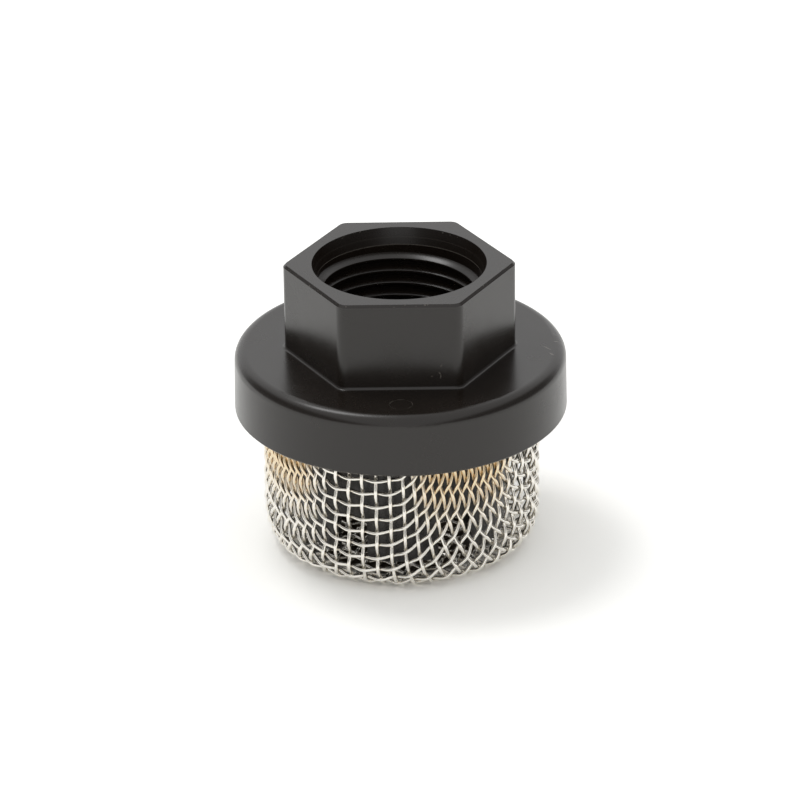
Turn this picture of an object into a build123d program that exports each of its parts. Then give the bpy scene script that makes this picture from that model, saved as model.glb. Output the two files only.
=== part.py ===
from build123d import *
import os
from math import cos, pi, sin

# Inlet strainer: a black moulded head screws onto a pump's suction tube by its hexagon.
# Its tube runs down inside a deep-drawn cup of woven stainless wire cloth, and the cup's
# rim is held in the head's collar.
# Millimetres. Z runs up the bore, and Z = 0 is the plane that the cup stands on.

# Threaded socket, from the inside of the head outwards
socket_d = 27.2          # root of the 3/4-11.5 hose thread
socket_len = 13.2
mouth_flare = 0.7        # the lead-in cone, on the radius
mouth_len = 2.8

# Hexagon
hex_wall = 2.35          # from the mouth to a flat, which gives 33.3 across the flats
hex_h = 14.9
hex_corner_r = 2.0
hex_edge_w = 0.4
hex_foot_r = 0.5

# Tube that goes on below the socket as the cage's six legs
tube_relief = 1.4        # its bore is this much wider than the thread's root, on the radius
tube_wall = 2.3
tube_len = 20.7          # below the collar
notch_count = 6
notch_w = 6.2
notch_h = 6.9

# Wire cup
wire_d = 0.6
cup_gap = 4.45           # between the tube and the cup
cup_corner_r = 5.6
corner_steps = 3         # flat facets from the floor up to the wall
floor_gap = 2.3          # between the legs and the cup's floor
rim_depth = 2.0          # the rim's seat in the collar's plate
cell_pitch = 5.8
bar_w = 1.3
ridge_w = 0.6
hoop_sink = 0.1          # hoops lie this much lower than the ribs that cross them

# Collar
collar_h = 10.4
plate_t = 4.0
skirt_wall = 4.25
collar_draft = 1.0
collar_edge_r = 1.9
skirt_foot_w = 0.3       # chamfer round the foot
rim_clearance = 0.05     # round the cup's rim in its seat

# Round witness of the ejector pin on the collar's upper face
pin_mark_d = 3.8
pin_mark_depth = 0.1

# Radii, from the bore outwards
socket_r = socket_d / 2
mouth_r = socket_r + mouth_flare
hex_af = 2 * (mouth_r + hex_wall)
tube_bore_r = socket_r + tube_relief
tube_r = tube_bore_r + tube_wall
cloth_t = 2 * wire_d
cup_bore_r = tube_r + cup_gap
cup_r = cup_bore_r + cloth_t
cells_round = round(2 * pi * (cup_r - wire_d) / cell_pitch)
seat_bore_r = cup_bore_r * cos(pi / cells_round) - rim_clearance
skirt_bore_r = cup_r + rim_clearance
collar_r = skirt_bore_r + skirt_wall

# Heights, from the floor upwards
legs_z = cloth_t + floor_gap
notch_top_z = legs_z + notch_h
skirt_z = legs_z + tube_len
plate_top_z = skirt_z + collar_h
plate_z = plate_top_z - plate_t
seat_z = plate_z + rim_depth
top_z = plate_top_z + hex_h
socket_top_z = top_z - mouth_len
socket_z = socket_top_z - socket_len
rim_z = seat_z - rim_clearance

# The cloth: a web as thick as one wire, with ridges as high as the other wire on its outside
flat_r = cup_r - cup_corner_r
cell_rows = int((skirt_z - cup_corner_r) / cell_pitch)
first_row_z = (skirt_z + cup_corner_r - cell_rows * cell_pitch) / 2
gap_w = cell_pitch - bar_w
ridge_root = 1.5 * wire_d    # ridges run half a wire deep into the web


def revolved(points):
    """Solid of revolution about the bore's axis from (radius, height) points."""
    return revolve(Plane.XZ * make_face(Polyline(*points, close=True)), Axis.Z)


def collar():
    """Round collar with its drafted band and rounded upper edge, still without the rim's seat."""
    disc = Pos(0, 0, plate_top_z) * Circle(collar_r)
    body = extrude(disc, amount=-collar_h, taper=-collar_draft)
    body = fillet(body.edges().group_by(Axis.Z)[-1], collar_edge_r)
    return chamfer(body.edges().group_by(Axis.Z)[0], skirt_foot_w)


def hexagon():
    """Wrench hexagon above the collar, a flat towards -Y, with round corners and a bevelled top."""
    outline = RegularPolygon(hex_af / 2, 6, major_radius=False)
    outline = fillet(outline.vertices(), hex_corner_r)
    block = extrude(Pos(0, 0, plate_top_z) * outline, amount=hex_h)
    return chamfer(block.edges().group_by(Axis.Z)[-1], hex_edge_w)


def hollow_below():
    """Space under the collar's plate between the tube and the skirt, with the seat of the rim."""
    pocket = [
        (tube_r, legs_z),
        (skirt_bore_r, legs_z),
        (skirt_bore_r, seat_z),
        (seat_bore_r, seat_z),
        (seat_bore_r, plate_z),
        (tube_r, plate_z),
    ]
    return revolved(pocket)


def bore():
    """Everything that is open down the middle: lead-in cone, socket and the wider tube."""
    profile = [
        (0, legs_z),
        (tube_bore_r, legs_z),
        (tube_bore_r, socket_z),
        (socket_r, socket_z),
        (socket_r, socket_top_z),
        (mouth_r, top_z),
        (0, top_z),
    ]
    return revolved(profile)


def notches():
    """Flow notches up from the tube's foot, between the legs that stand under the flats."""
    cutter = Box(tube_r, notch_w, notch_h, align=(Align.MIN, Align.CENTER, Align.MIN))
    step = 360 / notch_count
    return [Pos(0, 0, legs_z) * Rot(0, 0, i * step) * Pos(tube_bore_r / 2, 0, 0) * cutter
            for i in range(notch_count)]


def shell():
    """Collar and hexagon as one body, with the small round at the hexagon's foot."""
    body = collar() + hexagon()
    level = body.edges().filter_by_position(Axis.Z, plate_top_z, plate_top_z)
    foot = level.sort_by(SortBy.DISTANCE)[:-1]
    return fillet(foot, hex_foot_r)


def pin_mark():
    """Shallow disc that the ejector pin left on the collar, between a flat and the edge."""
    middle_r = (hex_af / 2 + collar_r) / 2
    return Pos(0, -middle_r, plate_top_z) * Cylinder(pin_mark_d / 2, 2 * pin_mark_depth)


def strainer_head():
    """One moulding: hexagon, collar and the notched tube."""
    tube = Pos(0, 0, legs_z) * extrude(Circle(tube_r), amount=plate_z - legs_z)
    body = shell() - hollow_below() + tube
    return body - bore() - notches() - pin_mark()


def section(inset):
    """Cup's section from its floor to its rim, as (radius, height) this far inside the ridges."""
    corner = cup_corner_r - inset
    turns = [pi / 2 * i / corner_steps for i in range(corner_steps + 1)]
    bend = [(flat_r + corner * sin(turn), cup_corner_r - corner * cos(turn)) for turn in turns]
    return bend + [(cup_r - inset, rim_z)]


def cup_form(inset):
    """Solid cup with one upright facet for each cell round, a polygon at each height."""
    step = 2 * pi / cells_round
    corners = [(r * cos(i * step), r * sin(i * step), z)
               for r, z in section(inset) for i in range(cells_round)]
    return ConvexPolyhedron(corners)


def cup_web():
    """Wall and floor of the cup, one wire thick, under the ridges."""
    return cup_form(wire_d) - cup_form(cloth_t)


def wall_gaps():
    """Openings in the wall, in rows between the hoops."""
    step = 360 / cells_round
    hole = Box(4 * cloth_t, gap_w, gap_w)
    return [Rot(0, 0, (i + 0.5) * step) * Pos(cup_r, 0, first_row_z + (row + 0.5) * cell_pitch) * hole
            for i in range(cells_round) for row in range(cell_rows)]


def corner_gaps():
    """One row of openings round the corner, square to its slope."""
    step = 360 / cells_round
    hole = Box(4 * cloth_t, gap_w, gap_w)
    slope = Pos(flat_r, 0, cup_corner_r) * Rot(0, 45, 0) * Pos(cup_corner_r, 0, 0)
    return [Rot(0, 0, (i + 0.5) * step) * slope * hole for i in range(cells_round)]


def floor_cells():
    """Centres of the openings that fit in the flat of the floor."""
    half = int(flat_r / cell_pitch) + 1
    centres = [(i + 0.5) * cell_pitch for i in range(-half, half)]
    reach = gap_w / 2
    return [(x, y) for x in centres for y in centres
            if (abs(x) + reach) ** 2 + (abs(y) + reach) ** 2 < flat_r ** 2]


def floor_gaps():
    """Openings in the floor, in the square rows of the cloth."""
    hole = Box(gap_w, gap_w, 4 * cloth_t)
    return [Pos(x, y, cloth_t / 2) * hole for x, y in floor_cells()]


def ribs():
    """Upright ridges from the rim round the corner to the floor, one on each upright bar."""
    outline = section(0) + section(ridge_root)[::-1]
    rib = extrude(Plane.XZ * make_face(Polyline(*outline, close=True)), amount=ridge_w / 2, both=True)
    return [Rot(0, 0, i * 360 / cells_round) * rib for i in range(cells_round)]


def hoops():
    """Level ridges round the wall, between its rows of openings."""
    band = RegularPolygon(cup_r - hoop_sink, cells_round) - RegularPolygon(cup_r - ridge_root, cells_round)
    hoop = extrude(band, amount=ridge_w / 2, both=True)
    return [Pos(0, 0, first_row_z + i * cell_pitch) * hoop for i in range(cell_rows + 1)]


def floor_ridges():
    """Straight ridges under the floor in both directions, one set lying lower than the other."""
    count = int((flat_r - ridge_w) / cell_pitch)
    bars = []
    for i in range(-count, count + 1):
        offset = i * cell_pitch
        length = 2 * (flat_r ** 2 - offset ** 2) ** 0.5
        along = Box(length, ridge_w, ridge_root, align=(Align.CENTER, Align.CENTER, Align.MIN))
        across = Box(ridge_w, length, ridge_root - hoop_sink, align=(Align.CENTER, Align.CENTER, Align.MIN))
        bars.append(Pos(0, offset, 0) * along)
        bars.append(Pos(offset, 0, hoop_sink) * across)
    return bars


def mesh_cup():
    """Wire cup: one wall with ridges, open between them."""
    web = cup_web() - wall_gaps() - corner_gaps() - floor_gaps()
    return web + ribs() + hoops() + floor_ridges()


os.makedirs("parts", exist_ok=True)
export_step(strainer_head(), "parts/strainer_head.step")
export_step(mesh_cup(), "parts/mesh_cup.step")
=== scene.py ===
"""Inlet strainer of a pump's suction tube: a black moulded head over a cup of woven wire cloth.

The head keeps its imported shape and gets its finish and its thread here. The cup is woven here
wire by wire: a flat square cloth is pressed into the cup's form, so that its cells stay square
where they face the form's two thread directions and shear to slim diamonds between them.
Lengths are in metres, and a name that ends in _mm is in millimetres.
"""
import logging
import math
from dataclasses import dataclass, field
from enum import Enum
from typing import Any, Optional

import bpy
import numpy as np
from mathutils import Matrix, Vector


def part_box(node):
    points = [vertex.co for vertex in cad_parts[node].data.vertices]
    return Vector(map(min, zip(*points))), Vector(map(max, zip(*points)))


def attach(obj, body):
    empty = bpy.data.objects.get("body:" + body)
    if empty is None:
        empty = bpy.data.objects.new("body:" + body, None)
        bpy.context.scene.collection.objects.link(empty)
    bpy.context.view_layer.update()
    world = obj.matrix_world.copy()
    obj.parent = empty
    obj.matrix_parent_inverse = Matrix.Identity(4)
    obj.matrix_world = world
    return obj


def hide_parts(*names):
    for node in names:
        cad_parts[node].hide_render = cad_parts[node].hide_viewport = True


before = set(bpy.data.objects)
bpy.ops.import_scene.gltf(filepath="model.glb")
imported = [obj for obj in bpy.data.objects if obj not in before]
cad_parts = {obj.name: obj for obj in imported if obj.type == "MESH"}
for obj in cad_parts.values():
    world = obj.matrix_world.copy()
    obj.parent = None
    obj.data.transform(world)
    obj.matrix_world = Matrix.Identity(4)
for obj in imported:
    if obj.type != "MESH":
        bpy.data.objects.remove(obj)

MM = 0.001
BODY = "root"
PHOTO_SIDE_PX = 800

log = logging.getLogger("strainer")


class Slot(Enum):
    """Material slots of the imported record."""

    MOULDING = "moulding"
    WIRE = "wire"


class Family(Enum):
    """The two thread directions of the cloth, as axes of its grid of crossings."""

    WARP = 0
    WEFT = 1


def linear(colour: str) -> tuple[float, float, float, float]:
    """Turn an sRGB hex colour into linear RGBA.

    Args:
        colour: Colour such as "#1c1b1a".

    Returns:
        Linear red, green, blue and an alpha of 1.
    """
    parts = [int(colour[i:i + 2], 16) / 255 for i in (1, 3, 5)]
    red, green, blue = (c / 12.92 if c <= 0.04045 else ((c + 0.055) / 1.055) ** 2.4 for c in parts)
    return red, green, blue, 1.0


def add_node(tree: bpy.types.NodeTree, kind: str, attrs: Optional[dict[str, Any]] = None,
             values: Optional[dict[Any, Any]] = None,
             links: Optional[dict[Any, bpy.types.NodeSocket]] = None) -> bpy.types.Node:
    """Add a node with its settings and links.

    Args:
        tree: Node tree that gets the node.
        kind: Type name of the node.
        attrs: Properties of the node itself.
        values: Values of its input sockets, by name or index.
        links: Output sockets that feed its input sockets, by name or index.

    Returns:
        The new node.
    """
    node = tree.nodes.new(kind)
    for name, value in (attrs or {}).items():
        setattr(node, name, value)
    for name, value in (values or {}).items():
        node.inputs[name].default_value = value
    for name, source in (links or {}).items():
        tree.links.new(source, node.inputs[name])
    return node


def new_material(name: str) -> tuple[bpy.types.Material, bpy.types.NodeTree]:
    """Make a node material with nothing in it but its output.

    Args:
        name: Name of the material.

    Returns:
        The material and its node tree.
    """
    material = bpy.data.materials.new(name)
    material.use_nodes = True
    tree = material.node_tree
    for node in list(tree.nodes):
        tree.nodes.remove(node)
    add_node(tree, "ShaderNodeOutputMaterial")
    return material, tree


def output_of(tree: bpy.types.NodeTree) -> bpy.types.Node:
    """Return the tree's output node."""
    return next(node for node in tree.nodes if node.type.startswith("OUTPUT"))


@dataclass(frozen=True)
class Scratch:
    """A short mark in the moulding's skin, from end to end in millimetres."""

    start: tuple[float, float, float]
    end: tuple[float, float, float]
    width_mm: float = 0.2

    def mask(self, tree: bpy.types.NodeTree, place: bpy.types.NodeSocket) -> bpy.types.NodeSocket:
        """Add a value that is 1 in the mark and 0 away from it.

        Args:
            tree: Node tree that gets the value.
            place: Coordinates in the part's frame.

        Returns:
            Socket that holds the value.
        """
        start, end = Vector(self.start) * MM, Vector(self.end) * MM
        half = self.width_mm * MM / 2
        turn = (end - start).to_track_quat("X", "Z").to_euler()
        own = add_node(tree, "ShaderNodeMapping", {"vector_type": "TEXTURE"},
                       {"Location": (start + end) / 2, "Rotation": turn,
                        "Scale": ((end - start).length / 2 + half, half, half)},
                       {"Vector": place})
        far = add_node(tree, "ShaderNodeVectorMath", {"operation": "LENGTH"},
                       links={0: own.outputs["Vector"]})
        inside = add_node(tree, "ShaderNodeMapRange", {"interpolation_type": "SMOOTHSTEP"},
                          {"From Min": 1.0, "From Max": 0.4}, {"Value": far.outputs["Value"]})
        return inside.outputs["Result"]


@dataclass(frozen=True)
class MouldedNylon:
    """Finish of the head: glass-filled nylon, dyed black and injection moulded.

    The dye leaves next to no colour of its own, so the eye reads the part by its satin
    reflections. Fibres close under the skin give it a fine uneven grain. Handling has left
    a few pale scratches. A thin broken ring round the ejector pin's edge and pale lines round
    the mouth's steps are painted highlights.
    """

    name: str = "glass-filled nylon moulded"
    colour: str = "#18120d"
    worn_colour: str = "#201a15"
    # Pale colour of the scratches and rubbed specks, also used for the painted highlights round the
    # pin's mark and the mouth's steps.
    scratch_and_highlight_colour: str = "#645f59"
    roughness: float = 0.25
    ior: float = 1.53
    grain_mm: float = 0.5
    cloud_mm: float = 9.0
    pin_centre: tuple[float, float, float] = (0.0, -22.02, 34.6)
    pin_radius_mm: float = 1.86
    edge_mm: tuple[float, float] = (49.12, 49.47)
    # Heights and strengths of the pale lines painted round the mouth's steps as painted highlights.
    bore_highlight_lines_mm: tuple[tuple[float, float], ...] = ((46.66, 0.8), (47.9, 0.12))
    scratches: tuple[Scratch, ...] = (
        Scratch((6.40, -16.65, 38.55), (6.70, -16.65, 38.90), 0.16),
        Scratch((6.12, -16.65, 37.65), (6.50, -16.65, 37.20), 0.18),
        Scratch((6.50, -16.65, 37.20), (6.42, -16.65, 36.45), 0.22),
        Scratch((4.95, -16.65, 36.90), (5.10, -16.65, 36.90), 0.22),
        Scratch((23.40, -0.90, 34.60), (24.80, -2.60, 34.60), 0.35),
        Scratch((24.40, -3.60, 34.60), (25.10, -4.60, 34.60), 0.45),
        Scratch((25.20, 0.60, 34.60), (26.30, 0.90, 34.60), 0.35),
    )

    def pin_rim_highlight(self, tree: bpy.types.NodeTree,
                 place: bpy.types.NodeSocket) -> bpy.types.NodeSocket:
        """Add a painted highlight: a value that is 1 on the broken ring round the ejector pin's mark.

        Args:
            tree: Node tree that gets the value.
            place: Coordinates in the part's frame.

        Returns:
            Socket that holds the value.
        """
        # Painted highlight: a pale broken ring on the rim of the pin's recess.
        far = add_node(tree, "ShaderNodeVectorMath", {"operation": "DISTANCE"},
                       {1: Vector(self.pin_centre) * MM}, {0: place})
        off = add_node(tree, "ShaderNodeMath", {"operation": "SUBTRACT"},
                       {1: self.pin_radius_mm * MM}, {0: far.outputs["Value"]})
        size = add_node(tree, "ShaderNodeMath", {"operation": "ABSOLUTE"},
                        links={0: off.outputs["Value"]})
        line = add_node(tree, "ShaderNodeMapRange", {"interpolation_type": "SMOOTHSTEP"},
                        {"From Min": 0.11 * MM, "From Max": 0.02 * MM},
                        {"Value": size.outputs["Value"]})
        breaks = add_node(tree, "ShaderNodeTexNoise", values={"Scale": 1 / (1.6 * MM), "Detail": 1.0},
                          links={"Vector": place})
        lit = add_node(tree, "ShaderNodeMapRange", values={"From Min": 0.42, "From Max": 0.6,
                                                           "To Min": 0.15, "To Max": 0.8},
                       links={"Value": breaks.outputs["Fac"]})
        both = add_node(tree, "ShaderNodeMath", {"operation": "MULTIPLY"},
                        links={0: line.outputs["Result"], 1: lit.outputs["Result"]})
        return both.outputs["Value"]

    def rubbed_edge(self, tree: bpy.types.NodeTree,
                    place: bpy.types.NodeSocket) -> bpy.types.NodeSocket:
        """Add a value that is 1 in the bright specks along the hexagon's upper edges.

        Args:
            tree: Node tree that gets the value.
            place: Coordinates in the part's frame.

        Returns:
            Socket that holds the value.
        """
        low, high = (z * MM for z in self.edge_mm)
        axes = add_node(tree, "ShaderNodeSeparateXYZ", links={"Vector": place})
        above = add_node(tree, "ShaderNodeMath", {"operation": "GREATER_THAN"}, {1: low},
                         {0: axes.outputs["Z"]})
        below = add_node(tree, "ShaderNodeMath", {"operation": "LESS_THAN"}, {1: high},
                         {0: axes.outputs["Z"]})
        specks = add_node(tree, "ShaderNodeTexNoise", values={"Scale": 1 / (0.55 * MM), "Detail": 1.0},
                          links={"Vector": place})
        few = add_node(tree, "ShaderNodeMapRange", values={"From Min": 0.68, "From Max": 0.76},
                       links={"Value": specks.outputs["Fac"]})
        band = add_node(tree, "ShaderNodeMath", {"operation": "MULTIPLY"},
                        links={0: above.outputs["Value"], 1: below.outputs["Value"]})
        both = add_node(tree, "ShaderNodeMath", {"operation": "MULTIPLY"},
                        links={0: band.outputs["Value"], 1: few.outputs["Result"]})
        return both.outputs["Value"]

    def bore_edge_highlight(self, tree: bpy.types.NodeTree, place: bpy.types.NodeSocket, level_mm: float,
                  strength: float) -> bpy.types.NodeSocket:
        """Add a value for a pale line painted round the mouth at a step in its wall, a painted
        highlight on that edge.

        Args:
            tree: Node tree that gets the value.
            place: Coordinates in the part's frame.
            level_mm: Height of the line.
            strength: Value on the line.

        Returns:
            Socket that holds the value.
        """
        axes = add_node(tree, "ShaderNodeSeparateXYZ", links={"Vector": place})
        flat = add_node(tree, "ShaderNodeCombineXYZ",
                        links={"X": axes.outputs["X"], "Y": axes.outputs["Y"]})
        out = add_node(tree, "ShaderNodeVectorMath", {"operation": "LENGTH"},
                       links={0: flat.outputs["Vector"]})
        in_bore = add_node(tree, "ShaderNodeMath", {"operation": "LESS_THAN"}, {1: 15 * MM},
                           {0: out.outputs["Value"]})
        off = add_node(tree, "ShaderNodeMath", {"operation": "SUBTRACT"}, {1: level_mm * MM},
                       {0: axes.outputs["Z"]})
        size = add_node(tree, "ShaderNodeMath", {"operation": "ABSOLUTE"},
                        links={0: off.outputs["Value"]})
        # Painted highlight: pale along the step's edge inside the mouth.
        line = add_node(tree, "ShaderNodeMapRange", {"interpolation_type": "SMOOTHSTEP"},
                        {"From Min": 0.12 * MM, "From Max": 0.03 * MM, "To Max": strength},
                        {"Value": size.outputs["Value"]})
        both = add_node(tree, "ShaderNodeMath", {"operation": "MULTIPLY"},
                        links={0: line.outputs["Result"], 1: in_bore.outputs["Value"]})
        return both.outputs["Value"]

    def scratches_and_highlights(self, tree: bpy.types.NodeTree,
                  place: bpy.types.NodeSocket) -> bpy.types.NodeSocket:
        """Add a value that is above 0 wherever the skin is scratched or rubbed, or a highlight is
        painted.

        Args:
            tree: Node tree that gets the value.
            place: Coordinates in the part's frame.

        Returns:
            Socket that holds the value.
        """
        masks = [scratch.mask(tree, place) for scratch in self.scratches]
        masks += [self.pin_rim_highlight(tree, place), self.rubbed_edge(tree, place)]
        masks += [self.bore_edge_highlight(tree, place, *line) for line in self.bore_highlight_lines_mm]
        total = masks[0]
        for mask in masks[1:]:
            both = add_node(tree, "ShaderNodeMath", {"operation": "MAXIMUM"},
                            links={0: total, 1: mask})
            total = both.outputs["Value"]
        return total

    def build(self) -> bpy.types.Material:
        """Build the material.

        Returns:
            Black nylon with a fine grain in its gloss, a few scratches and painted highlights at
            edges.
        """
        material, tree = new_material(self.name)
        place = add_node(tree, "ShaderNodeTexCoord")
        cloud = add_node(tree, "ShaderNodeTexNoise",
                         values={"Scale": 1 / (self.cloud_mm * MM), "Detail": 3.0, "Roughness": 0.6},
                         links={"Vector": place.outputs["Object"]})
        grain = add_node(tree, "ShaderNodeTexNoise",
                         values={"Scale": 1 / (self.grain_mm * MM), "Detail": 2.0, "Roughness": 0.5},
                         links={"Vector": place.outputs["Object"]})
        gloss = add_node(tree, "ShaderNodeMapRange",
                         values={"From Min": 0.3, "From Max": 0.7,
                                 "To Min": self.roughness - 0.03, "To Max": self.roughness + 0.04},
                         links={"Value": cloud.outputs["Fac"]})
        bump = add_node(tree, "ShaderNodeBump", values={"Strength": 0.12, "Distance": 0.01 * MM},
                        links={"Height": grain.outputs["Fac"]})
        skin = add_node(tree, "ShaderNodeMix", {"data_type": "RGBA"},
                        {"A": linear(self.colour), "B": linear(self.worn_colour)},
                        {"Factor": cloud.outputs["Fac"]})
        # Scratches, rubbed specks and the painted edge highlights all take the pale colour.
        colour = add_node(tree, "ShaderNodeMix", {"data_type": "RGBA"},
                          {"B": linear(self.scratch_and_highlight_colour)},
                          {"Factor": self.scratches_and_highlights(tree, place.outputs["Object"]),
                           "A": skin.outputs["Result"]})
        shader = add_node(tree, "ShaderNodeBsdfPrincipled", values={"IOR": self.ior},
                          links={"Base Color": colour.outputs["Result"],
                                 "Roughness": gloss.outputs["Result"],
                                 "Normal": bump.outputs["Normal"]})
        tree.links.new(shader.outputs["BSDF"], output_of(tree).inputs["Surface"])
        return material


@dataclass(frozen=True)
class WovenStainless:
    """Finish of the cup: drawn stainless wire, woven.

    Drawing through dies leaves a bright skin with faint streaks, which reads as pale warm
    silver. The heat of moulding has turned the wires straw near the collar.
    """

    name: str = "woven stainless wire"
    colour: str = "#eeeae2"
    straw: str = "#e2cdab"
    roughness: float = 0.16
    streak_mm: float = 0.9
    straw_reach_mm: float = 23.0

    def build(self, rim_z: float, generator: float) -> bpy.types.Material:
        """Build the material.

        Args:
            rim_z: Height at which the wires enter the collar.
            generator: Direction of the cloth's first thread, in radians from +X.

        Returns:
            Bright steel, straw between the thread directions near the collar.
        """
        material, tree = new_material(self.name)
        place = add_node(tree, "ShaderNodeTexCoord")
        streak = add_node(tree, "ShaderNodeTexNoise",
                          values={"Scale": 1 / (self.streak_mm * MM), "Detail": 2.0},
                          links={"Vector": place.outputs["Object"]})
        gloss = add_node(tree, "ShaderNodeMapRange",
                         values={"From Min": 0.3, "From Max": 0.7,
                                 "To Min": self.roughness - 0.05, "To Max": self.roughness + 0.08},
                         links={"Value": streak.outputs["Fac"]})
        tint = add_node(tree, "ShaderNodeMix", {"data_type": "RGBA"},
                        {"A": linear(self.colour), "B": linear(self.straw)},
                        {"Factor": self.heated(tree, place.outputs["Object"], rim_z, generator)})
        shader = add_node(tree, "ShaderNodeBsdfPrincipled", values={"Metallic": 1.0},
                          links={"Base Color": tint.outputs["Result"],
                                 "Roughness": gloss.outputs["Result"]})
        tree.links.new(shader.outputs["BSDF"], output_of(tree).inputs["Surface"])
        return material

    def heated(self, tree: bpy.types.NodeTree, place: bpy.types.NodeSocket, rim_z: float,
               generator: float) -> bpy.types.NodeSocket:
        """Add a value that grows where the wires lie close together under the collar.

        Args:
            tree: Node tree that gets the value.
            place: Coordinates in the part's frame.
            rim_z: Height at which the wires enter the collar.
            generator: Direction of the cloth's first thread, in radians from +X.

        Returns:
            Socket that holds 0 for bright wire, up to 1 for straw.
        """
        axes = add_node(tree, "ShaderNodeSeparateXYZ", links={"Vector": place})
        azimuth = add_node(tree, "ShaderNodeMath", {"operation": "ARCTAN2"},
                           links={0: axes.outputs["Y"], 1: axes.outputs["X"]})
        quarter = add_node(tree, "ShaderNodeMath", {"operation": "MULTIPLY_ADD"},
                           {1: 4.0, 2: -4 * generator}, {0: azimuth.outputs["Value"]})
        lobes = add_node(tree, "ShaderNodeMath", {"operation": "COSINE"},
                         links={0: quarter.outputs["Value"]})
        between = add_node(tree, "ShaderNodeMapRange", {"interpolation_type": "SMOOTHSTEP"},
                           {"From Min": 0.35, "From Max": -0.6}, {"Value": lobes.outputs["Value"]})
        near = add_node(tree, "ShaderNodeMapRange", {"interpolation_type": "SMOOTHSTEP"},
                        {"From Min": rim_z - self.straw_reach_mm * MM, "From Max": rim_z - 11 * MM},
                        {"Value": axes.outputs["Z"]})
        both = add_node(tree, "ShaderNodeMath", {"operation": "MULTIPLY"},
                        links={0: between.outputs["Result"], 1: near.outputs["Result"]})
        return both.outputs["Value"]


@dataclass(frozen=True)
class PalePaper:
    """Seamless paper that the strainer stands on: matt and white.

    The camera and reflections see it brighter than it is lit, so that it reads as white and
    keeps its shadow. Under the cup, below the head, a dark disc of painted shade lies on it.
    """

    name: str = "seamless paper matt"
    colour: str = "#e8e8e6"
    # Colour of the painted shade: a dark disc painted on the paper under the cup.
    shade: str = "#3a342d"
    gain: float = 1.2
    painted_shade_from_mm: float = 14.0
    painted_shade_to_mm: float = 18.5

    def build(self) -> bpy.types.Material:
        """Build the material.

        Returns:
            Matt white that reads as white to the camera and in reflections, and keeps its shadow,
            with a dark disc of painted shade under the cup.
        """
        material, tree = new_material(self.name)
        place = add_node(tree, "ShaderNodeTexCoord")
        # Painted shade: the paper turns to the dark shade colour under the cup, between the two radii
        # above.
        far = add_node(tree, "ShaderNodeVectorMath", {"operation": "LENGTH"},
                       links={0: place.outputs["Object"]})
        clear = add_node(tree, "ShaderNodeMapRange", {"interpolation_type": "SMOOTHSTEP"},
                         {"From Min": self.painted_shade_from_mm * MM, "From Max": self.painted_shade_to_mm * MM},
                         {"Value": far.outputs["Value"]})
        paper_with_painted_shade = add_node(tree, "ShaderNodeMix", {"data_type": "RGBA"},
                        {"A": linear(self.shade), "B": linear(self.colour)},
                        {"Factor": clear.outputs["Result"]})
        extra = add_node(tree, "ShaderNodeMix", {"data_type": "RGBA"}, {"A": linear("#000000")},
                         {"Factor": seen_directly(tree, self.gain, 0.0),
                          "B": paper_with_painted_shade.outputs["Result"]})
        matt = add_node(tree, "ShaderNodeBsdfDiffuse", links={"Color": paper_with_painted_shade.outputs["Result"]})
        lift = add_node(tree, "ShaderNodeBsdfDiffuse", links={"Color": extra.outputs["Result"]})
        both = add_node(tree, "ShaderNodeAddShader",
                        links={0: matt.outputs["BSDF"], 1: lift.outputs["BSDF"]})
        tree.links.new(both.outputs["Shader"], output_of(tree).inputs["Surface"])
        return material


def seen_directly(tree: bpy.types.NodeTree, seen: float, unseen: float) -> bpy.types.NodeSocket:
    """Add a value that differs between rays that show a surface and rays that light one.

    Args:
        tree: Node tree that gets the value.
        seen: Value for camera, glossy and transmission rays.
        unseen: Value for all other rays.

    Returns:
        Socket that holds the value.
    """
    path = add_node(tree, "ShaderNodeLightPath")
    either = add_node(tree, "ShaderNodeMath", {"operation": "MAXIMUM"},
                      links={0: path.outputs["Is Camera Ray"], 1: path.outputs["Is Glossy Ray"]})
    any_of = add_node(tree, "ShaderNodeMath", {"operation": "MAXIMUM"},
                      links={0: either.outputs["Value"], 1: path.outputs["Is Transmission Ray"]})
    value = add_node(tree, "ShaderNodeMapRange", values={"To Min": unseen, "To Max": seen},
                     links={"Value": any_of.outputs["Value"]})
    return value.outputs["Result"]


def link_mesh(name: str, points: np.ndarray, edges: list = (), faces: list = ()) -> bpy.types.Object:
    """Make a mesh object at the origin and link it to the scene.

    Args:
        name: Name of the piece.
        points: Vertices, in metres.
        edges: Pairs of vertex numbers.
        faces: Rings of vertex numbers.

    Returns:
        The new object.
    """
    mesh = bpy.data.meshes.new(name)
    mesh.from_pydata([tuple(p) for p in points], list(edges), list(faces))
    piece = bpy.data.objects.new(name, mesh)
    bpy.context.scene.collection.objects.link(piece)
    return piece


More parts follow.
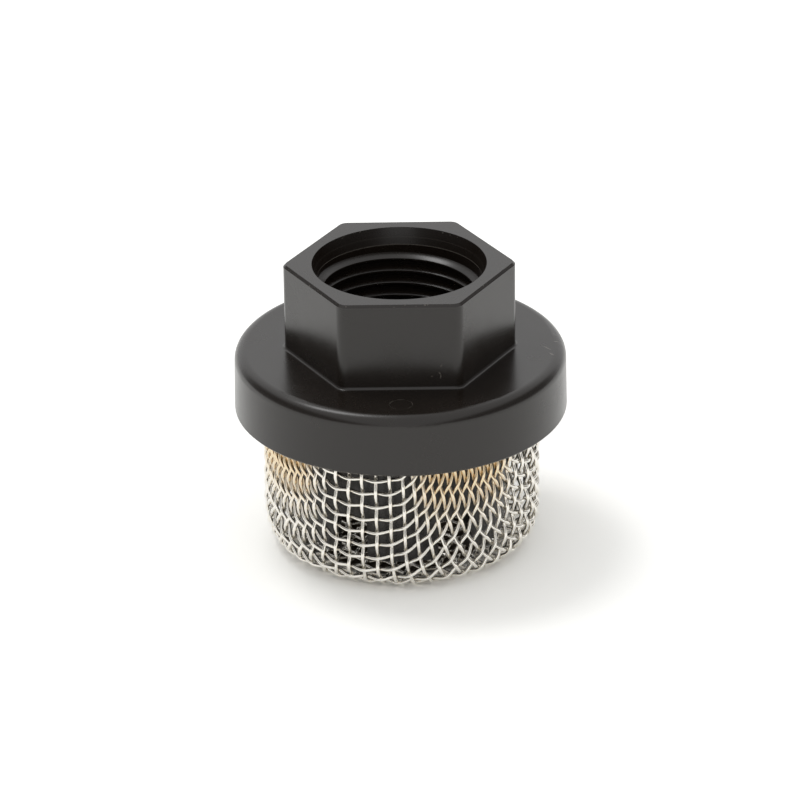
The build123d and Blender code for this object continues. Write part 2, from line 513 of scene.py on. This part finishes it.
class GeometryTree:
    """A Geometry Nodes tree with named inputs, which is applied to a piece and then removed."""

    def __init__(self, name: str, inputs: dict[str, tuple[str, Any]]) -> None:
        """Start the tree.

        Args:
            name: Name of the tree.
            inputs: For each named input its socket type and its value.
        """
        self.tree = bpy.data.node_groups.new(name, "GeometryNodeTree")
        face = self.tree.interface
        face.new_socket("Geometry", in_out="INPUT", socket_type="NodeSocketGeometry")
        face.new_socket("Geometry", in_out="OUTPUT", socket_type="NodeSocketGeometry")
        self.settings: dict[str, Any] = {}
        for label, (kind, value) in inputs.items():
            socket = face.new_socket(label, in_out="INPUT", socket_type=kind)
            self.settings[socket.identifier] = value
        self.start = add_node(self.tree, "NodeGroupInput")

    def value(self, label: str) -> bpy.types.NodeSocket:
        """Return the socket of a named input."""
        return self.start.outputs[label]

    def finish(self, result: bpy.types.NodeSocket) -> None:
        """End the tree with Realize Instances and Set Material.

        Args:
            result: Geometry that the tree has made.
        """
        smooth = add_node(self.tree, "GeometryNodeSetShadeSmooth", links={"Geometry": result})
        angle = add_node(self.tree, "GeometryNodeInputMeshEdgeAngle")
        corner = add_node(self.tree, "ShaderNodeMath", {"operation": "GREATER_THAN"},
                          {1: math.radians(40)}, {0: angle.outputs["Unsigned Angle"]})
        crisp = add_node(self.tree, "GeometryNodeSetShadeSmooth", {"domain": "EDGE"},
                         {"Shade Smooth": False},
                         {"Geometry": smooth.outputs["Geometry"],
                          "Selection": corner.outputs["Value"]})
        real = add_node(self.tree, "GeometryNodeRealizeInstances",
                        links={"Geometry": crisp.outputs["Geometry"]})
        dressed = add_node(self.tree, "GeometryNodeSetMaterial",
                           links={"Geometry": real.outputs["Geometry"],
                                  "Material": self.value("Material")})
        add_node(self.tree, "NodeGroupOutput", links={"Geometry": dressed.outputs["Geometry"]})

    def apply(self, piece: bpy.types.Object) -> bpy.types.Object:
        """Run the tree on a piece and keep the result as its plain mesh.

        Args:
            piece: Object that the tree starts from.

        Returns:
            The same object with its new mesh and no modifier.
        """
        modifier = piece.modifiers.new(self.tree.name, "NODES")
        modifier.node_group = self.tree
        for identifier, value in self.settings.items():
            modifier[identifier] = value
        graph = bpy.context.evaluated_depsgraph_get()
        made = bpy.data.meshes.new_from_object(piece.evaluated_get(graph))
        piece.modifiers.remove(modifier)
        piece.data = made
        return piece


@dataclass
class FormedCloth:
    """Square-woven cloth pressed into the cup: where each crossing of its wires comes to lie.

    The cloth starts flat. Its cells keep their sides, and open or close only by shear, until
    neighbouring wires touch. The crossings are relaxed on the cup's surface under those rules.
    """

    radius: float
    corner: float
    floor_z: float
    pitch: float = 2.42 * MM
    reach: float = 47.0 * MM
    first_row: float = 0.25
    lock: float = 0.62
    bend_stiffness: float = 0.1
    shear_stiffness: float = 0.01
    rounds: int = 2500
    points: np.ndarray = field(init=False)
    kept: np.ndarray = field(init=False)

    def surface(self, at: np.ndarray) -> tuple[np.ndarray, np.ndarray]:
        """Find the nearest points on the cup and its outward normals there.

        Args:
            at: Points, with x, y and z in the last axis.

        Returns:
            The nearest points and the unit normals.
        """
        flat = self.radius - self.corner
        level = self.floor_z + self.corner
        out = np.hypot(at[..., 0], at[..., 1])
        away = at[..., :2] / np.maximum(out, 1e-12)[..., None]
        on_floor = (out <= flat) & (at[..., 2] < level)
        on_wall = (at[..., 2] >= level) & ~on_floor
        aside = np.where(on_floor, 0.0, np.where(on_wall, 1.0, out - flat))
        below = np.where(on_floor, -1.0, np.where(on_wall, 0.0, at[..., 2] - level))
        size = np.maximum(np.hypot(aside, below), 1e-12)
        normal = np.concatenate([away * (aside / size)[..., None], (below / size)[..., None]], -1)
        out_to = np.where(on_floor, out, flat + self.corner * aside / size)
        up_to = np.where(on_wall, at[..., 2], level + self.corner * below / size)
        return np.concatenate([away * out_to[..., None], up_to[..., None]], -1), normal

    def lay_flat(self) -> None:
        """Lay the round blank over the form along its meridians, as a start for the relaxing."""
        count = int(self.reach / self.pitch) + 2
        steps = np.arange(-count, count + 1)
        across, along = np.meshgrid((steps + self.first_row) * self.pitch, steps * self.pitch,
                                    indexing="ij")
        far = np.hypot(across, along)
        turn = np.arctan2(along, across)
        flat = self.radius - self.corner
        bent = np.clip((far - flat) / self.corner, 0, math.pi / 2)
        out = np.where(far <= flat, far, flat + self.corner * np.sin(bent))
        climb = np.maximum(0, far - flat - self.corner * math.pi / 2)
        up = np.where(far <= flat, 0.0, self.corner * (1 - np.cos(bent)) + climb) + self.floor_z
        self.points = np.stack([out * np.cos(turn), out * np.sin(turn), up], -1)
        self.kept = far < self.reach

    def form(self) -> None:
        """Relax the crossings on the cup until the cloth's cells have found their shapes."""
        self.lay_flat()
        there = self.kept.astype(float)
        speed = np.zeros_like(self.points)
        short, all_of, tail = slice(0, -1), slice(None), slice(1, None)
        sides = [((short, all_of), (tail, all_of)), ((all_of, short), (all_of, tail))]
        diagonals = [((short, short), (tail, tail)), ((tail, short), (short, tail))]
        triples = [((slice(0, -2), all_of), (slice(1, -1), all_of), (slice(2, None), all_of)),
                   ((all_of, slice(0, -2)), (all_of, slice(1, -1)), (all_of, slice(2, None)))]
        for _ in range(self.rounds):
            push = np.zeros_like(self.points)
            weight = np.full(self.kept.shape + (1,), 1e-6)
            for a, b in sides:
                self.pull(a, b, self.pitch, 1.0, False, there, push, weight)
            for a, b in diagonals:
                self.pull(a, b, self.lock * self.pitch, 1.0, True, there, push, weight)
                self.pull(a, b, math.sqrt(2) * self.pitch, self.shear_stiffness, False, there,
                          push, weight)
            for a, b, c in triples:
                held = (there[a] * there[b] * there[c])[..., None] * self.bend_stiffness
                lift = (0.5 * (self.points[a] + self.points[c]) - self.points[b]) * held
                push[b] += lift
                push[a] -= 0.5 * lift
                push[c] -= 0.5 * lift
                weight[b] += held
                weight[a] += 0.5 * held
                weight[c] += 0.5 * held
            speed = 0.9 * speed + push / weight
            self.points = self.surface(self.points + 0.35 * speed)[0]

    def pull(self, a: tuple, b: tuple, rest: float, stiffness: float, only_push: bool,
             there: np.ndarray, push: np.ndarray, weight: np.ndarray) -> None:
        """Add what the bonds between two sets of crossings ask for.

        Args:
            a: Slices of the crossings at the bonds' first ends.
            b: Slices of the crossings at their second ends.
            rest: Length of a bond at rest.
            stiffness: Weight of these bonds against others.
            only_push: True for bonds that act only when they are too short.
            there: 1 for crossings that the blank has.
            push: Sum of the moves asked for, which this adds to.
            weight: Sum of the bonds' weights, which this adds to.
        """
        span = self.points[b] - self.points[a]
        length = np.maximum(np.linalg.norm(span, axis=-1, keepdims=True), 1e-12)
        excess = np.minimum(length - rest, 0) if only_push else length - rest
        both = (there[a] * there[b])[..., None] * stiffness
        move = span * excess / length * both * 0.5
        push[a] += move
        push[b] -= move
        weight[a] += both
        weight[b] += both


@dataclass
class WireCup:
    """Cup of woven wire: warp and weft as two pieces, each wire bent over and under the others."""

    low: Vector
    high: Vector
    wire: float = 0.6 * MM
    cup_corner: float = 5.6 * MM
    generator: float = math.radians(-16.8 - 90)
    first_over: int = 1
    steps_per_cell: int = 6
    wire_facets: int = 10
    rim_gap: float = 0.15 * MM

    def centre_line(self, cloth: FormedCloth, crossings: np.ndarray, over: int) -> np.ndarray:
        """Bend a wire over and under the wires that it crosses.

        Args:
            cloth: The formed cloth.
            crossings: The wire's crossings in order.
            over: 0 where the wire passes outside its first crossing, 1 where it passes inside.

        Returns:
            Points along the wire's middle.
        """
        count = len(crossings)
        padded = np.vstack([2 * crossings[0] - crossings[1], crossings,
                            2 * crossings[-1] - crossings[-2]])
        along = np.arange((count - 1) * self.steps_per_cell + 1) / self.steps_per_cell
        cell = np.minimum(along.astype(int), count - 2)
        part = (along - cell)[:, None]
        p0, p1, p2, p3 = (padded[cell + i] for i in range(4))
        smooth = 0.5 * (2 * p1 + (p2 - p0) * part + (2 * p0 - 5 * p1 + 4 * p2 - p3) * part ** 2
                        + (3 * p1 - p0 - 3 * p2 + p3) * part ** 3)
        on_cup, normal = cloth.surface(smooth)
        wave = np.cos(math.pi * (along + over))[:, None] * self.wire / 2
        return on_cup + normal * wave

    def wires(self, cloth: FormedCloth, family: Family) -> tuple[np.ndarray, list]:
        """Collect the centre lines of all the wires that run one way.

        Args:
            cloth: The formed cloth.
            family: Which of the two directions.

        Returns:
            Points and edges of the lines.
        """
        grid, kept = cloth.points, cloth.kept
        if family is Family.WEFT:
            grid, kept = grid.swapaxes(0, 1), kept.swapaxes(0, 1)
        top = self.high.z - self.rim_gap - self.wire / 2
        points, edges = [], []
        for number in range(kept.shape[1]):
            rows = np.flatnonzero(kept[:, number])
            if len(rows) < 3:
                continue
            over = int(rows[0] + number + self.first_over + family.value) % 2
            line = self.centre_line(cloth, grid[rows, number], over)
            inside = line[:, 2] < top
            for i in np.flatnonzero(inside[:-1] & inside[1:]):
                edges.append((len(points) + i, len(points) + i + 1))
            points.extend(line)
        return self.turned(np.array(points)), edges

    def turned(self, points: np.ndarray) -> np.ndarray:
        """Turn the cloth's own axes to the direction that its threads have in the cup."""
        c, s = math.cos(self.generator), math.sin(self.generator)
        return points @ np.array([[c, s, 0], [-s, c, 0], [0, 0, 1]])

    def sweep(self, name: str, material: bpy.types.Material) -> GeometryTree:
        """Build the tree that gives centre lines their round section.

        Args:
            name: Name of the tree.
            material: Finish of the wires.

        Returns:
            The tree.
        """
        made = GeometryTree(name, {"Wire Diameter": ("NodeSocketFloat", self.wire),
                                   "Facets": ("NodeSocketInt", self.wire_facets),
                                   "Material": ("NodeSocketMaterial", material)})
        tree = made.tree
        used = add_node(tree, "GeometryNodeMeshToCurve", links={"Mesh": made.value("Geometry")})
        half = add_node(tree, "ShaderNodeMath", {"operation": "MULTIPLY"}, {1: 0.5},
                        {0: made.value("Wire Diameter")})
        ring = add_node(tree, "GeometryNodeCurvePrimitiveCircle",
                        links={"Resolution": made.value("Facets"), "Radius": half.outputs["Value"]})
        tube = add_node(tree, "GeometryNodeCurveToMesh", values={"Fill Caps": True},
                        links={"Curve": used.outputs["Curve"], "Profile Curve": ring.outputs["Curve"]})
        made.finish(tube.outputs["Mesh"])
        return made

    def build(self, finish: WovenStainless) -> list[bpy.types.Object]:
        """Weave the cup.

        Args:
            finish: Finish of the wires.

        Returns:
            The warp and the weft.
        """
        middle = self.wire
        cloth = FormedCloth(self.high.x - middle, self.cup_corner - middle, self.low.z + middle)
        cloth.form()
        material = finish.build(self.high.z, self.generator)
        pieces = []
        for family in Family:
            name = f"wire_cloth_{family.name.lower()}"
            points, edges = self.wires(cloth, family)
            piece = link_mesh(name, points, edges)
            pieces.append(self.sweep(f"{name}_sweep", material).apply(piece))
        return pieces


@dataclass
class HoseThread:
    """Female hose thread: a right-hand ridge of 60 degree form round the wall of the socket."""

    mouth_z: float
    root: float = 13.6 * MM
    crest: float = 12.45 * MM
    pitch: float = 2.209 * MM
    start_depth: float = 3.9 * MM
    start_turn: float = math.radians(265)
    turns: float = 5.2
    facets_per_turn: int = 96
    crest_flat: float = 0.28 * MM
    crest_round: float = 0.07 * MM
    sunk: float = 0.05 * MM
    run_out: float = 0.09

    def build(self, material: bpy.types.Material) -> bpy.types.Object:
        """Wind the ridge.

        Args:
            material: Finish of the moulding that the thread belongs to.

        Returns:
            The thread.
        """
        height = self.root + self.sunk - self.crest
        foot = self.crest_flat + 2 * height * math.tan(math.radians(30))
        made = GeometryTree("hose_thread_ridge", {
            "Turns": ("NodeSocketFloat", self.turns),
            "Pitch": ("NodeSocketFloat", self.pitch),
            "Root Radius": ("NodeSocketFloat", self.root + self.sunk),
            "Ridge Height": ("NodeSocketFloat", height),
            "Foot Width": ("NodeSocketFloat", foot),
            "Crest Width": ("NodeSocketFloat", self.crest_flat),
            "Crest Round": ("NodeSocketFloat", self.crest_round),
            "Run Out": ("NodeSocketFloat", self.run_out),
            "Material": ("NodeSocketMaterial", material)})
        tree = made.tree
        drop = add_node(tree, "ShaderNodeMath", {"operation": "MULTIPLY"},
                        links={0: made.value("Turns"), 1: made.value("Pitch")})
        helix = add_node(tree, "GeometryNodeCurveSpiral",
                         values={"Resolution": self.facets_per_turn, "Reverse": True},
                         links={"Rotations": made.value("Turns"),
                                "Start Radius": made.value("Root Radius"),
                                "End Radius": made.value("Root Radius"),
                                "Height": drop.outputs["Value"]})
        upright = add_node(tree, "GeometryNodeSetCurveNormal", {"mode": "Z_UP"},
                           links={"Curve": helix.outputs["Curve"]})
        how_far = add_node(tree, "GeometryNodeSplineParameter")
        back = add_node(tree, "ShaderNodeMath", {"operation": "SUBTRACT"}, {0: 1.0},
                        {1: how_far.outputs["Factor"]})
        nearest = add_node(tree, "ShaderNodeMath", {"operation": "MINIMUM"},
                           links={0: how_far.outputs["Factor"], 1: back.outputs["Value"]})
        grown = add_node(tree, "ShaderNodeMapRange", {"interpolation_type": "SMOOTHSTEP"},
                         {"To Min": 0.03, "To Max": 1.0},
                         {"Value": nearest.outputs["Value"], "From Max": made.value("Run Out")})
        tapered = add_node(tree, "GeometryNodeSetCurveRadius",
                           links={"Curve": upright.outputs["Curve"],
                                  "Radius": grown.outputs["Result"]})
        ridge = add_node(tree, "GeometryNodeCurvePrimitiveQuadrilateral", {"mode": "TRAPEZOID"},
                         {"Offset": 0.0},
                         {"Bottom Width": made.value("Foot Width"),
                          "Top Width": made.value("Crest Width"),
                          "Height": made.value("Ridge Height")})
        rounded = add_node(tree, "GeometryNodeFilletCurve", {"mode": "POLY"},
                           {"Count": 3}, {"Curve": ridge.outputs["Curve"],
                                          "Radius": made.value("Crest Round")})
        half = add_node(tree, "ShaderNodeMath", {"operation": "MULTIPLY"}, {1: -0.5},
                        {0: made.value("Ridge Height")})
        inward = add_node(tree, "ShaderNodeCombineXYZ", links={"X": half.outputs["Value"]})
        placed = add_node(tree, "GeometryNodeTransform",
                          values={"Rotation": (0, 0, math.pi / 2)},
                          links={"Geometry": rounded.outputs["Curve"],
                                 "Translation": inward.outputs["Vector"]})
        solid = add_node(tree, "GeometryNodeCurveToMesh", values={"Fill Caps": True},
                         links={"Curve": tapered.outputs["Curve"],
                                "Profile Curve": placed.outputs["Geometry"]})
        made.finish(solid.outputs["Mesh"])
        thread = made.apply(link_mesh("socket_thread", np.zeros((1, 3))))
        bottom = self.mouth_z - self.start_depth - self.turns * self.pitch
        foot_turn = self.start_turn - 2 * math.pi * self.turns
        wind = Matrix.Translation((0, 0, bottom)) @ Matrix.Rotation(foot_turn, 4, "Z")
        thread.data.transform(wind)
        return thread


@dataclass
class Studio:
    """Pale floor, soft overhead light and the camera at the photograph's angle."""

    target: Vector = field(default_factory=lambda: Vector((0, 0, 24.2 * MM)))
    distance: float = 794.75 * MM
    elevation: float = math.radians(26.08)
    roll: float = math.radians(-0.731)
    focal_px: float = 4807.8
    axis_px: tuple[float, float] = (400.939, 402.017)
    sensor_mm: float = 36.0
    floor_side: float = 6.0
    ambient: float = 0.75
    backdrop: float = 1.3
    ceiling: float = 1.1
    sides: float = 0.25

    def add_camera(self) -> None:
        """Place the camera where the photograph was taken."""
        data = bpy.data.cameras.new("camera")
        data.sensor_width = self.sensor_mm
        data.lens = self.focal_px * self.sensor_mm / PHOTO_SIDE_PX
        centre = PHOTO_SIDE_PX / 2
        data.shift_x = (centre - self.axis_px[0]) / PHOTO_SIDE_PX
        data.shift_y = (self.axis_px[1] - centre) / PHOTO_SIDE_PX
        data.clip_end = 10 * self.floor_side
        camera = bpy.data.objects.new("camera", data)
        bpy.context.scene.collection.objects.link(camera)
        away = Vector((0, -math.cos(self.elevation), math.sin(self.elevation)))
        aim = away.to_track_quat("Z", "Y").to_matrix().to_4x4()
        camera.matrix_world = (Matrix.Translation(self.target + away * self.distance) @ aim
                               @ Matrix.Rotation(self.roll, 4, "Z"))
        bpy.context.scene.camera = camera

    def add_floor(self) -> None:
        """Lay the floor at the height that the strainer stands on."""
        side = self.floor_side / 2
        corners = np.array([(-side, -side, 0), (side, -side, 0), (side, side, 0), (-side, side, 0)])
        floor = link_mesh("floor", corners, faces=[(0, 1, 2, 3)])
        floor.data.materials.append(PalePaper().build())

    def add_world(self) -> None:
        """Surround the scene with even soft light, seen as a white backdrop in a dim room."""
        world = bpy.data.worlds.new("studio")
        world.use_nodes = True
        tree = world.node_tree
        for node in list(tree.nodes):
            tree.nodes.remove(node)
        out = add_node(tree, "ShaderNodeOutputWorld")
        place = add_node(tree, "ShaderNodeTexCoord")
        axes = add_node(tree, "ShaderNodeSeparateXYZ", links={"Vector": place.outputs["Generated"]})
        aside = add_node(tree, "ShaderNodeMath", {"operation": "ABSOLUTE"},
                         links={0: axes.outputs["X"]})
        low = add_node(tree, "ShaderNodeMath", {"operation": "MULTIPLY_ADD"}, {1: -0.8},
                       {0: axes.outputs["Z"], 2: aside.outputs["Value"]})
        room = add_node(tree, "ShaderNodeMapRange", {"interpolation_type": "SMOOTHSTEP"},
                        {"From Min": 0.1, "From Max": 0.4, "To Min": self.ceiling,
                         "To Max": self.sides}, {"Value": low.outputs["Value"]})
        behind = add_node(tree, "ShaderNodeMapRange", {"interpolation_type": "SMOOTHSTEP"},
                          {"From Min": 0.45, "From Max": 0.8, "To Max": self.backdrop},
                          {"Value": axes.outputs["Y"], "To Min": room.outputs["Result"]})
        strength = add_node(tree, "ShaderNodeMix", {"data_type": "FLOAT"}, {"A": self.ambient},
                            {"Factor": seen_directly(tree, 1.0, 0.0),
                             "B": behind.outputs["Result"]})
        glow = add_node(tree, "ShaderNodeBackground",
                        links={"Strength": strength.outputs["Result"]})
        tree.links.new(glow.outputs["Background"], out.inputs["Surface"])
        bpy.context.scene.world = world

    def add_softbox(self, name: str, place: tuple[float, float, float], side: float,
                    watts: float) -> None:
        """Hang a square softbox that points at the strainer.

        Args:
            name: Name of the lamp.
            place: Its centre.
            side: Length of its side.
            watts: Its power.
        """
        data = bpy.data.lights.new(name, "AREA")
        data.shape = "SQUARE"
        data.size = side
        data.energy = watts
        lamp = bpy.data.objects.new(name, data)
        bpy.context.scene.collection.objects.link(lamp)
        middle = Vector(place)
        aim = (middle - self.target).to_track_quat("Z", "Y").to_matrix().to_4x4()
        lamp.matrix_world = Matrix.Translation(middle) @ aim

    def build(self) -> None:
        """Build the studio."""
        self.add_camera()
        self.add_floor()
        self.add_world()
        self.add_softbox("overhead_softbox", (-0.32, 0.20, 0.95), 0.32, 1.8)
        bpy.context.scene.view_settings.view_transform = "Standard"


def main() -> None:
    """Build the studio and dress the strainer, piece by piece."""
    logging.basicConfig(level=logging.INFO, format="%(name)s: %(message)s")
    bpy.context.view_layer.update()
    Studio().build()
    nylon = MouldedNylon().build()

    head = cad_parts["strainer_head"]
    head.data.materials.clear()
    head.data.materials.append(nylon)
    log.info("strainer_head: %d faces", len(head.data.polygons))

    thread = HoseThread(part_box("strainer_head")[1].z).build(nylon)
    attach(thread, BODY)
    log.info("%s: %d faces", thread.name, len(thread.data.polygons))

    for piece in WireCup(*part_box("mesh_cup")).build(WovenStainless()):
        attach(piece, BODY)
        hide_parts("mesh_cup")
        log.info("%s: %d faces", piece.name, len(piece.data.polygons))


if __name__ == "__main__":
    main()
